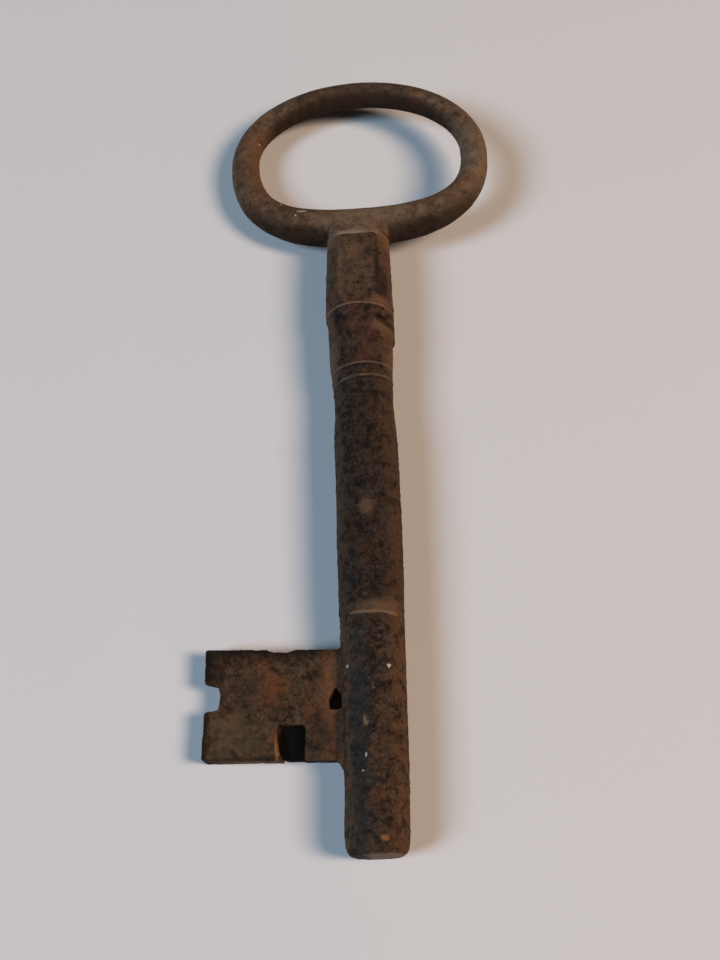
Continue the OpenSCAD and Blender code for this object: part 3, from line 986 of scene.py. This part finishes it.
# %% The rust recipe
def rusted(name, tones, seed, smooth=0.0, rust=0.5, cool=0.4, pits=0.7, front_shade=0.0,
           above=(), marks=(), lines=()):
    """A rusted iron finish from its tones, the strength of each layer, and marks at their places."""
    material = bpy.data.materials.new(name)
    material.use_nodes = True
    tree = material.node_tree
    shader = tree.nodes["Principled BSDF"]
    metres = Wire(tree).node("ShaderNodeTexCoord", {}, {}, "Object")
    place = metres.node("ShaderNodeVectorMath", {"operation": "SCALE"}, {0: metres, "Scale": 1 / MM})
    facing = metres.node("ShaderNodeAttribute", {"attribute_name": "facing"}, {}, "Vector")
    side, ahead = (facing.node("ShaderNodeSeparateXYZ", {}, {0: facing}, axis) for axis in "XY")
    along = place.node("ShaderNodeSeparateXYZ", {}, {0: place}, "Y")
    relief = metres.node("ShaderNodeAttribute", {"attribute_name": "relief"}, {}, "Fac")

    clumps = place.lumps(1.1 + 1.1 * smooth, seed, 6, 0.74)
    specks = place.lumps(0.4, seed + 1, 3, 0.6)
    dark = place.lumps(1.5, seed + 6, 5, 0.72)
    broad = place.lumps(4.0, seed + 2, 4, 0.7)
    bloom = place.lumps(3.0, seed + 3, 4, 0.7)
    fleck = place.lumps(0.34, seed + 4, 2)

    iron, crust, orange, grey, deep, worn, flank_and_side_light = tones_along(tones, above, along)
    colour = clumps.rise(0.3, 0.7).between(iron, crust)
    # The sides take the flank tone, partly as rustier flanks and partly as a painted highlight where light
    # falls on them; the next line paints the left-facing side a little greyer, as cool light.
    colour = colour.blend(flank_and_side_light, 0.7 * side.rise(0.35, 0.8) + 0.7 * side.rise(-0.5, -0.88))
    colour = colour.blend(grey, 0.2 * side.rise(-0.4, -0.8))
    colour = colour.blend(orange, rust * broad.rise(0.46, 0.68))
    colour = colour.blend(grey, cool * bloom.rise(0.48, 0.68))
    colour = colour.blend(deep, pits * dark.rise(0.53, 0.38))
    colour = colour.blend(deep, 0.7 * pits * specks.rise(0.56, 0.72))
    colour = colour.blend(worn, (1 - smooth) * 0.6 * fleck.rise(0.62, 0.74))
    colour = colour.blend(deep, 0.6 * relief.rise(-0.3, -2.2))
    colour = colour.blend(worn, 0.45 * relief.rise(0.8, 3.5) * fleck.rise(0.3, 0.6))
    # painted shade: faces turned to the front, towards -Y, are darkened towards the pit tone
    colour = colour.blend(deep, front_shade * ahead.rise(-0.15, -0.75))
    colour = marked(colour, place, seed, marks, lines)
    colour = colour.blend(deep, 0.35 * pits * specks.rise(0.52, 0.7))

    roughness = 0.8 - 0.2 * relief.rise(0.3, 2.0) - 0.12 * fleck.rise(0.5, 0.8)
    height = place.lumps(0.34, seed + 9, 3, 0.65)
    bump = height.node("ShaderNodeBump", {}, {"Strength": 0.6 - 0.3 * smooth, "Distance": 0.06 * MM,
                                             "Height": height})
    for socket, wire in (("Base Color", colour), ("Roughness", roughness), ("Normal", bump)):
        tree.links.new(wire.socket, shader.inputs[socket])
    shader.inputs["Specular IOR Level"].default_value = 0.06
    return material


# %% [markdown]
# ## The finish of each piece
# The bow was held most, so it is smooth, brown and light. The stem and the pin end are the
# darkest, with a blue-black band. The bit is brown with orange patches. The tones of a finish
# are, in order: iron, crust, orange, grey bloom, pits, rubbed places and flanks. The flank tone
# is partly a rustier flank and partly a painted highlight on the sides that light falls on.

# %% Tones
TONES = {
    "bow": ((60, 45, 34), (112, 89, 70), (110, 67, 39), (106, 94, 77),
            (26, 17, 11), (138, 114, 92), (108, 85, 65)),
    "neck": ((39, 29, 22), (88, 66, 50), (94, 58, 43), (73, 62, 55),
             (14, 11, 8), (120, 95, 74), (82, 62, 48)),
    "collar": ((28, 20, 15), (74, 53, 41), (86, 50, 40), (62, 54, 51),
               (9, 7, 5), (106, 82, 63), (90, 66, 49)),
    "stem": ((10, 9, 8), (61, 47, 37), (65, 42, 29), (50, 50, 48),
             (5, 4, 3), (96, 76, 60), (81, 60, 45)),
    "pin": ((17, 13, 10), (74, 57, 44), (86, 53, 34), (60, 57, 54),
            (6, 5, 4), (108, 88, 70), (94, 68, 47)),
    "bit": ((38, 28, 21), (80, 60, 43), (103, 60, 32), (72, 65, 52),
            (11, 8, 5), (106, 84, 62), (83, 61, 42)),
    "braze": ((90, 68, 51), (110, 85, 66), (122, 78, 50), (92, 80, 64),
              (34, 25, 18), (132, 108, 88), (116, 88, 64)),
}
print("tones:", list(TONES))

# %% [markdown]
# ## What marks each piece
# A mark is its tone, its middle, its half sizes, how ragged its edge is and how strong it is. A
# line is its tone, its station, its skew, its half width and its strength. Most of them are where
# handling has rubbed a lip, a ridge or a flank, or where dirt and black rust have stayed. Others
# are painted shade along the bit's edges, under a chip and an arc, in the collar's hollow and in
# the slot, and painted highlights on the bit's near face. The bright lips and the moulding's
# flanks are partly painted highlight too.

# %% Marks of the stem and the pin end
CHALK, TAN = (190, 182, 165), (128, 98, 76)
STEM_MARKS = [
    ((118, 88, 70), (0.1, 38.5, 4.8), (1.1, 1.35, 2), 1.5, 0.38),  # scuff on the front
    ((96, 72, 54), (0.2, 23.0, 4.6), (3.0, 0.8, 2.5), 1.8, 0.55),  # rubbed band above the lap
    ((104, 78, 56), (3.0, 22.6, 3.9), (2.2, 1.8, 2.5), 1.8, 0.6),  # rubbed band, on its right
    ((128, 101, 79), (-1.6, 22.1, 4.4), (1.8, 0.34, 0.9), 0.9, 0.5),  # bright lip over the lap, left: rubbed, with a painted highlight
    ((128, 101, 79), (0.9, 22.02, 4.7), (1.8, 0.34, 0.9), 0.9, 0.5),  # bright lip, middle: rubbed, with a painted highlight
    ((136, 104, 78), (3.2, 21.9, 3.6), (1.3, 0.36, 1.1), 0.9, 0.5),  # bright lip, right: rubbed, with a painted highlight
    ((104, 84, 72), (-4.7, 65, 1.2), (1.3, 3.6, 3), 1.4, 0.5),  # left flank of the moulding: partly its rust, partly painted side light, cool as the left lamp
    ((112, 84, 60), (4.9, 64, 1.2), (1.3, 3.6, 3), 1.4, 0.4),  # right flank of the moulding: partly its rust, partly painted side light, warm as the right lamp
]
# Beside each cut line, on its side towards the bow, a light line is painted: partly rubbed metal and partly
# a painted highlight.
CUT_LIP = 0.36
STEM_LINES = [((120, 97, 80), station + CUT_LIP, skew, 0.14, 0.5) for station, skew in CUT_LINES]
PIN_MARKS = [
    ((28, 34, 36), (-1.75, 5.5, 4.4), (1.1, 16, 3), 1.8, 0.6),  # blue-black band along the front
    ((118, 98, 76), (-0.85, 6.6, 4.7), (0.45, 0.8, 1), 0.8, 0.7),  # light chip
    ((40, 32, 26), (-0.5, 7.1, 4.7), (0.45, 0.75, 1), 0.5, 0.8),  # shade under the chip
    ((128, 84, 54), (1.05, -9.15, 4.64), (0.34, 0.42, 1), 0.7, 0.75),  # orange spot
    ((128, 84, 54), (1.5, -9.2, 4.5), (0.34, 0.4, 1), 0.7, 0.75),  # orange spot
    (CHALK, (-3.47, 14.56, 3.31), (0.24, 0.26, 0.5), 0.5, 0.8),  # chalky specks
    (CHALK, (2.54, 14.23, 4.07), (0.3, 0.2, 0.5), 0.6, 0.8),
    (CHALK, (2.5, 13.95, 4.07), (0.13, 0.2, 0.5), 0.5, 0.7),
    (CHALK, (-0.99, 1.82, 4.6), (0.16, 0.34, 0.5), 0.6, 0.6),
    (CHALK, (-1.47, -0.29, 4.5), (0.22, 0.14, 0.5), 0.6, 0.5),
    ((122, 102, 84), (1.1, -11.4, 0.3), (3.7, 0.5, 4.4), 0.8, 0.8),  # bright worn end
    ((24, 19, 16), (-3.1, -11.2, 0.5), (1.9, 1.0, 3.9), 0.8, 0.85),  # dirt left of the end
]
print("marks:", len(STEM_MARKS), "on the stem and", len(PIN_MARKS), "on the pin end")

# %% Marks of the bow and the bit
BOW_MARKS = [
    ((40, 30, 22), (-1, 121.4, 1), (17, 4.6, 5), 1.6, 0.6),  # dark far arc
    ((60, 46, 36), (-19.5, 104, 1), (3, 8, 4), 2.0, 0.35),  # left bar
    ((110, 66, 34), (-17.6, 108, 0.5), (2.2, 9, 3), 1.6, 0.35),  # young rust inside the left bar
    ((126, 104, 82), (21.6, 106, 1.4), (3.4, 9, 3.4), 1.6, 0.3),  # rubbed right bar
    ((124, 100, 78), (1, 93.4, 2.6), (6.5, 2.8, 3), 1.6, 0.4),  # rubbed root
    ((54, 36, 23), (-13, 95.4, 1.4), (6.5, 2.6, 3), 1.8, 0.55),  # painted shade under the low left arc
    ((84, 62, 45), (13.5, 95.4, 1.4), (6.5, 2.6, 3), 1.8, 0.35),  # low right arc
    ((165, 150, 132), (-9.8, 94.5, 3.0), (0.85, 0.26, 1), 1.0, 0.8),  # pale scrape
    (CHALK, (-13.4, 96.5, 2.3), (0.18, 0.18, 0.8), 0.8, 0.7),  # chalky specks
    (CHALK, (-10.8, 93.6, 2.9), (0.18, 0.17, 0.8), 0.8, 0.7),
    (CHALK, (-17.4, 110.8, 2), (0.22, 0.22, 1), 0.8, 0.7),
]
BIT_MARKS = [
    ((118, 76, 49), (-6.2, 11, 1.5), (1.1, 8, 2), 2.4, 0.58),  # young rust along the seam
    ((84, 74, 56), (-20, 5.5, 1.6), (4.2, 3.2, 1.5), 2.0, 0.35),  # cool corner
    ((108, 60, 32), (-15, 12, 1.6), (2.0, 2.6, 1.5), 2.0, 0.35),  # orange patch
    ((42, 36, 32), (-18.5, 11.5, 1.6), (2.0, 2.2, 1.5), 2.0, 0.45),  # dark patch
    ((36, 30, 26), (-7.4, 6.0, 1.5), (1.9, 2.6, 1.5), 2.0, 0.65),  # dark patch beside the slot
    ((14, 11, 9), (-13.5, 18.5, 1.2), (13, 2.0, 2.6), 1.3, 0.95),  # painted shade along the far edge
    ((15, 12, 10), (-24.6, 15.4, 1.4), (2.7, 4.6, 2.6), 1.4, 0.95),  # painted shade on the outer corner above the notch
    ((18, 14, 11), (-24.5, 5, 1.4), (1.1, 5.4, 2), 1.1, 0.85),  # painted shade along the outer edge
    ((24, 18, 13), (-17, 2.1, 1.5), (8, 0.5, 0.9), 1.4, 0.75),  # painted shade along the near edge's rim
    ((146, 102, 64), (-13.75, 4.0, 0.9), (0.42, 2.8, 1.0), 0.6, 0.6),  # light orange strip along the slot's left wall
    ((10, 6, 2), (-10.9, 4.6, -0.5), (3.05, 3.9, 0.95), 0.3, 1.0),  # painted shade in the slot, laid on the sheet there
    ((152, 106, 70), (-19, 1.9, -0.9), (6.5, 0.45, 1.8), 0.8, 0.4),  # painted highlight along the near face, in a light rust colour
]
ROOT_MARKS = [((56, 42, 32), (-4.8, 9.8, 1.9), (0.5, 9, 0.9), 1.0, 0.5)]
print("marks:", len(BOW_MARKS), "on the bow and", len(BIT_MARKS), "on the bit")

# %% Marks of the neck, the collar and the saddle
NECK_MARKS = [
    ((12, 9, 7), (2.8, 81, 4.2), (0.5, 6.0, 1), 1.3, 0.75),  # dark ridge on the right
    ((104, 80, 60), (-1.2, 84.5, 4.3), (1.6, 2.4, 1), 1.8, 0.4),  # rubbed front
    ((104, 80, 60), (-4.6, 87.6, 1.5), (1.6, 1.5, 2.6), 1.2, 0.7),  # left shoulder
    ((108, 84, 65), (-3.3, 83, 3.9), (0.45, 5, 1), 1.8, 0.3),  # left ridge
    ((12, 9, 7), (3.9, 78.5, 3.6), (0.8, 3.4, 1.6), 1.6, 0.6),  # dark right corner
    ((108, 80, 56), (4.3, 87.2, 2), (1.3, 1.8, 2.6), 1.2, 0.7),  # right shoulder
    ((118, 84, 58), (3.4, 74.8, 4), (1.8, 0.9, 2), 1.4, 0.6),  # rubbed foot on the right
]
COLLAR_MARKS = [
    ((11, 9, 8), (-3.8, 72.2, 3.7), (0.65, 1.6, 1.3), 1.3, 0.9),  # black spots on the left
    ((11, 10, 9), (-2.9, 71.4, 4.4), (0.6, 0.7, 1.2), 1.5, 0.7),
    ((12, 11, 10), (-3.4, 69.6, 4.0), (0.4, 1.3, 1.2), 1.5, 0.75),
    ((12, 9, 7), (3.4, 71.9, 4.3), (2.1, 0.6, 1.6), 1.0, 0.85),  # shade in the hollow
    ((14, 10, 8), (4.6, 71.0, 3.0), (1.0, 0.7, 1.5), 1.0, 0.7),
    ((108, 80, 57), (3.1, 70.0, 4.5), (1.3, 0.9, 1.6), 1.3, 0.55),  # rubbed lip of the band
    ((106, 78, 54), (4.4, 69.3, 3.0), (1.1, 1.3, 2), 1.3, 0.5),
]
# A light line just under the neck: partly rubbed metal and partly a painted highlight.
COLLAR_LINES = [(TAN, neck_y - 0.15, 0, 0.18, 0.7)]
SADDLE_MARKS = [
    ((152, 126, 108), (-0.9, 88.35, 4.3), (2.9, 0.9, 1.1), 1.3, 0.75),  # light ridge across the front: rubbed, with a painted highlight
    ((128, 96, 66), (2.8, 88.4, 3.8), (1.4, 1.0, 1.4), 1.4, 0.35),  # its right end
]
print("marks:", len(NECK_MARKS), "on the neck and", len(COLLAR_MARKS), "on the collar")

# %% [markdown]
# ## Laying the finishes on
# Each piece has its row: the tones, a seed for its noises and the layers that differ from the
# recipe's own. The stem and the collar share a seed and, past the upper cut line, their tones,
# because they were filed flush and rusted as one.

# %% Finishes
UPPER = (CUT_LINES[1][0] + 0.6, TONES["collar"])
# The bow and the saddle take painted shade on their faces turned to the front, at the strengths in their
# rows.
FINISHES = [
    (bow, "bow", 20, dict(smooth=0.7, pits=0.5, rust=0.45, cool=0.35, front_shade=0.82, marks=BOW_MARKS)),
    (neck, "neck", 30, dict(marks=NECK_MARKS)),
    (collar, "stem", 50, dict(above=UPPER, marks=COLLAR_MARKS, lines=COLLAR_LINES)),
    (stem, "stem", 50, dict(above=UPPER, marks=STEM_MARKS, lines=STEM_LINES)),
    (pin_end, "pin", 60, dict(marks=PIN_MARKS)),
    (bit, "bit", 70, dict(marks=BIT_MARKS)),
    (saddle, "braze", 20, dict(smooth=0.6, pits=0.3, front_shade=0.3, marks=SADDLE_MARKS)),
    (bit_braze, "bit", 70, dict(marks=BIT_MARKS + ROOT_MARKS)),
]
for piece, tones, seed, layers in FINISHES:
    finish = rusted(piece.name.replace("_dressed", "_rust"), TONES[tones], seed, **layers)
    piece.data.materials.append(finish)
print("finishes", [row[0].name for row in FINISHES])

# %% [markdown]
# ## Camera
# The camera looks down on the key from the pin's side, about two thirds of the way to straight
# down. Its place and aim were worked out from the way the key narrows towards the bow.

# %% Camera
CAMERA_AT = Vector((10.32, -27.83, 162.9)) * MM
CAMERA_AIM = Vector((-0.0642, 0.4066, -0.9113))
CAMERA_UP = Vector((0.0548, 0.9133, 0.4036))
LONG_SIDE, FOCAL_PX, SENSOR = 960, 1150, 36.0
CLIP_NEAR, CLIP_FAR = 0.01, 10


def make_camera():
    data = bpy.data.cameras.new("camera")
    data.sensor_width = SENSOR
    data.lens = FOCAL_PX * SENSOR / LONG_SIDE
    data.clip_start, data.clip_end = CLIP_NEAR, CLIP_FAR
    camera = bpy.data.objects.new("camera", data)
    back = -CAMERA_AIM.normalized()
    right = CAMERA_UP.cross(back).normalized()
    turn = Matrix((right, back.cross(right), back)).transposed()
    camera.matrix_world = Matrix.Translation(CAMERA_AT) @ turn.to_4x4()
    scene.collection.objects.link(camera)
    return camera


scene.camera = make_camera()
scene.view_settings.view_transform = "Standard"
print("lens in mm:", round(scene.camera.data.lens, 1))

# %% [markdown]
# ## The floor that the key rests on
# A hard thing comes to rest on three of its points. Stretch a convex hull round the key, and the
# floor is the plane of the hull's lower face that lies under its centre of mass. Down is along the
# floor's own normal, so the balance point is the centre of mass carried down along that normal.
# The key then lies on its stem, its collar and the outer edge of its bit.

# %% The resting plane
BALANCE = Vector((-1.9, 53)) * MM
CELL, LOOKS_DOWN = MM, -0.5


def lowest_points(pieces):
    """The lowest vertex in each square cell seen from below."""
    lowest = {}
    for piece in pieces:
        for vert in piece.data.vertices:
            cell = (round(vert.co.x / CELL), round(vert.co.y / CELL))
            if cell not in lowest or vert.co.z < lowest[cell].z:
                lowest[cell] = vert.co.copy()
    return list(lowest.values())


def resting_plane(points, balance):
    """A point and the upward normal of the hull's lower face under the balance point."""
    bm = bmesh.new()
    for point in points:
        bm.verts.new(point)
    bmesh.ops.convex_hull(bm, input=bm.verts)
    bm.normal_update()
    for face in bm.faces:
        if face.normal.z > LOOKS_DOWN:
            continue
        corners = [vert.co.xy for vert in face.verts]
        sides = [(b - a).cross(balance - a) for a, b in zip(corners, corners[1:] + corners[:1])]
        if all(side <= 0 for side in sides) or all(side >= 0 for side in sides):
            return face.verts[0].co.copy(), -face.normal.copy()
    raise ValueError("no face of the hull lies under the balance point")


rest_point, rest_up = resting_plane(lowest_points([tie[0] for tie in TIES]), BALANCE)
tilts = [math.degrees(math.atan2(lean, rest_up.z)) for lean in rest_up.xy]
print("floor tilts by", [round(tilt, 2) for tilt in tilts])

# %% Floor
FLOOR_HALF = 3
PAPER = {"Base Color": (0.585, 0.578, 0.575, 1), "Roughness": 0.9, "Specular IOR Level": 0.1}


def make_floor():
    """A wide sheet of pale paper in the resting plane."""
    bm = bmesh.new()
    bmesh.ops.create_grid(bm, x_segments=1, y_segments=1, size=FLOOR_HALF)
    turn = Vector((0, 0, 1)).rotation_difference(rest_up).to_matrix()
    bmesh.ops.rotate(bm, verts=bm.verts, cent=(0, 0, 0), matrix=turn)
    bmesh.ops.translate(bm, verts=bm.verts, vec=rest_point)
    sheet = as_object(bm, "floor")
    paper = bpy.data.materials.new("pale_paper")
    paper.use_nodes = True
    for socket, value in PAPER.items():
        paper.node_tree.nodes["Principled BSDF"].inputs[socket].default_value = value
    sheet.data.materials.append(paper)
    return sheet


floor = make_floor()
print(floor.name, "through", [round(value / MM, 1) for value in rest_point])

# %% [markdown]
# ## Light
# Two soft lamps stand on either side and a little in front, as a window and a room lamp would: a
# cool one on the left and a warm one on the right. Together they are neutral, so the pale floor
# stays pale, and each tints the shadow that the other leaves. A dim, plain world fills the rest.

# %% Lamps
LAMP_DISTANCE, LAMP_WIDTH, LAMP_HEIGHT = 1.3, 0.42, 0.56
WARM, COOL = (1.0, 0.765, 0.59), (0.54, 0.73, 0.935)
key_middle = Vector((0, 55, 0)) * MM
floor_right = (Vector((1, 0, 0)) - rest_up * rest_up.x).normalized()
floor_ahead = rest_up.cross(floor_right)


def lamp(name, side, front, elevation, watts, colour):
    """A tall soft lamp to one side of the key, some degrees in front and some over the floor."""
    data = bpy.data.lights.new(name, "AREA")
    data.shape, data.size, data.size_y = "ELLIPSE", LAMP_WIDTH, LAMP_HEIGHT
    data.energy, data.color = watts, colour
    piece = bpy.data.objects.new(name, data)
    rise, turn = math.radians(elevation), math.radians(front)
    level = side * math.cos(turn) * floor_right - math.sin(turn) * floor_ahead
    away = math.cos(rise) * level + math.sin(rise) * rest_up
    aim = away.to_track_quat("Z", "Y").to_matrix().to_4x4()
    piece.matrix_world = Matrix.Translation(key_middle + away * LAMP_DISTANCE) @ aim
    scene.collection.objects.link(piece)
    print(f"{name}: {watts} watts, {front} degrees in front, {elevation} up")


lamp("warm_lamp", side=1, front=16, elevation=50, watts=14.9, colour=WARM)
lamp("cool_lamp", side=-1, front=24, elevation=43, watts=13.9, colour=COOL)

# %% World
DIM, BACKDROP = (0.01, 0.01, 0.01, 1), (0.86, 0.86, 0.86, 1)
world = bpy.data.worlds.new("studio")
scene.world = world
world.use_nodes = True
rays = [Wire(world.node_tree).node("ShaderNodeLightPath", {}, {}, f"Is {kind} Ray")
        for kind in ("Camera", "Glossy", "Transmission")]
seen = rays[0].math("MAXIMUM", rays[0].math("MAXIMUM", rays[0], rays[1]), rays[2])
sky = world.node_tree.nodes["Background"].inputs["Color"]
world.node_tree.links.new(seen.between(DIM, BACKDROP).socket, sky)
print("world is seen as", BACKDROP[:3], "and gives", DIM[:3])
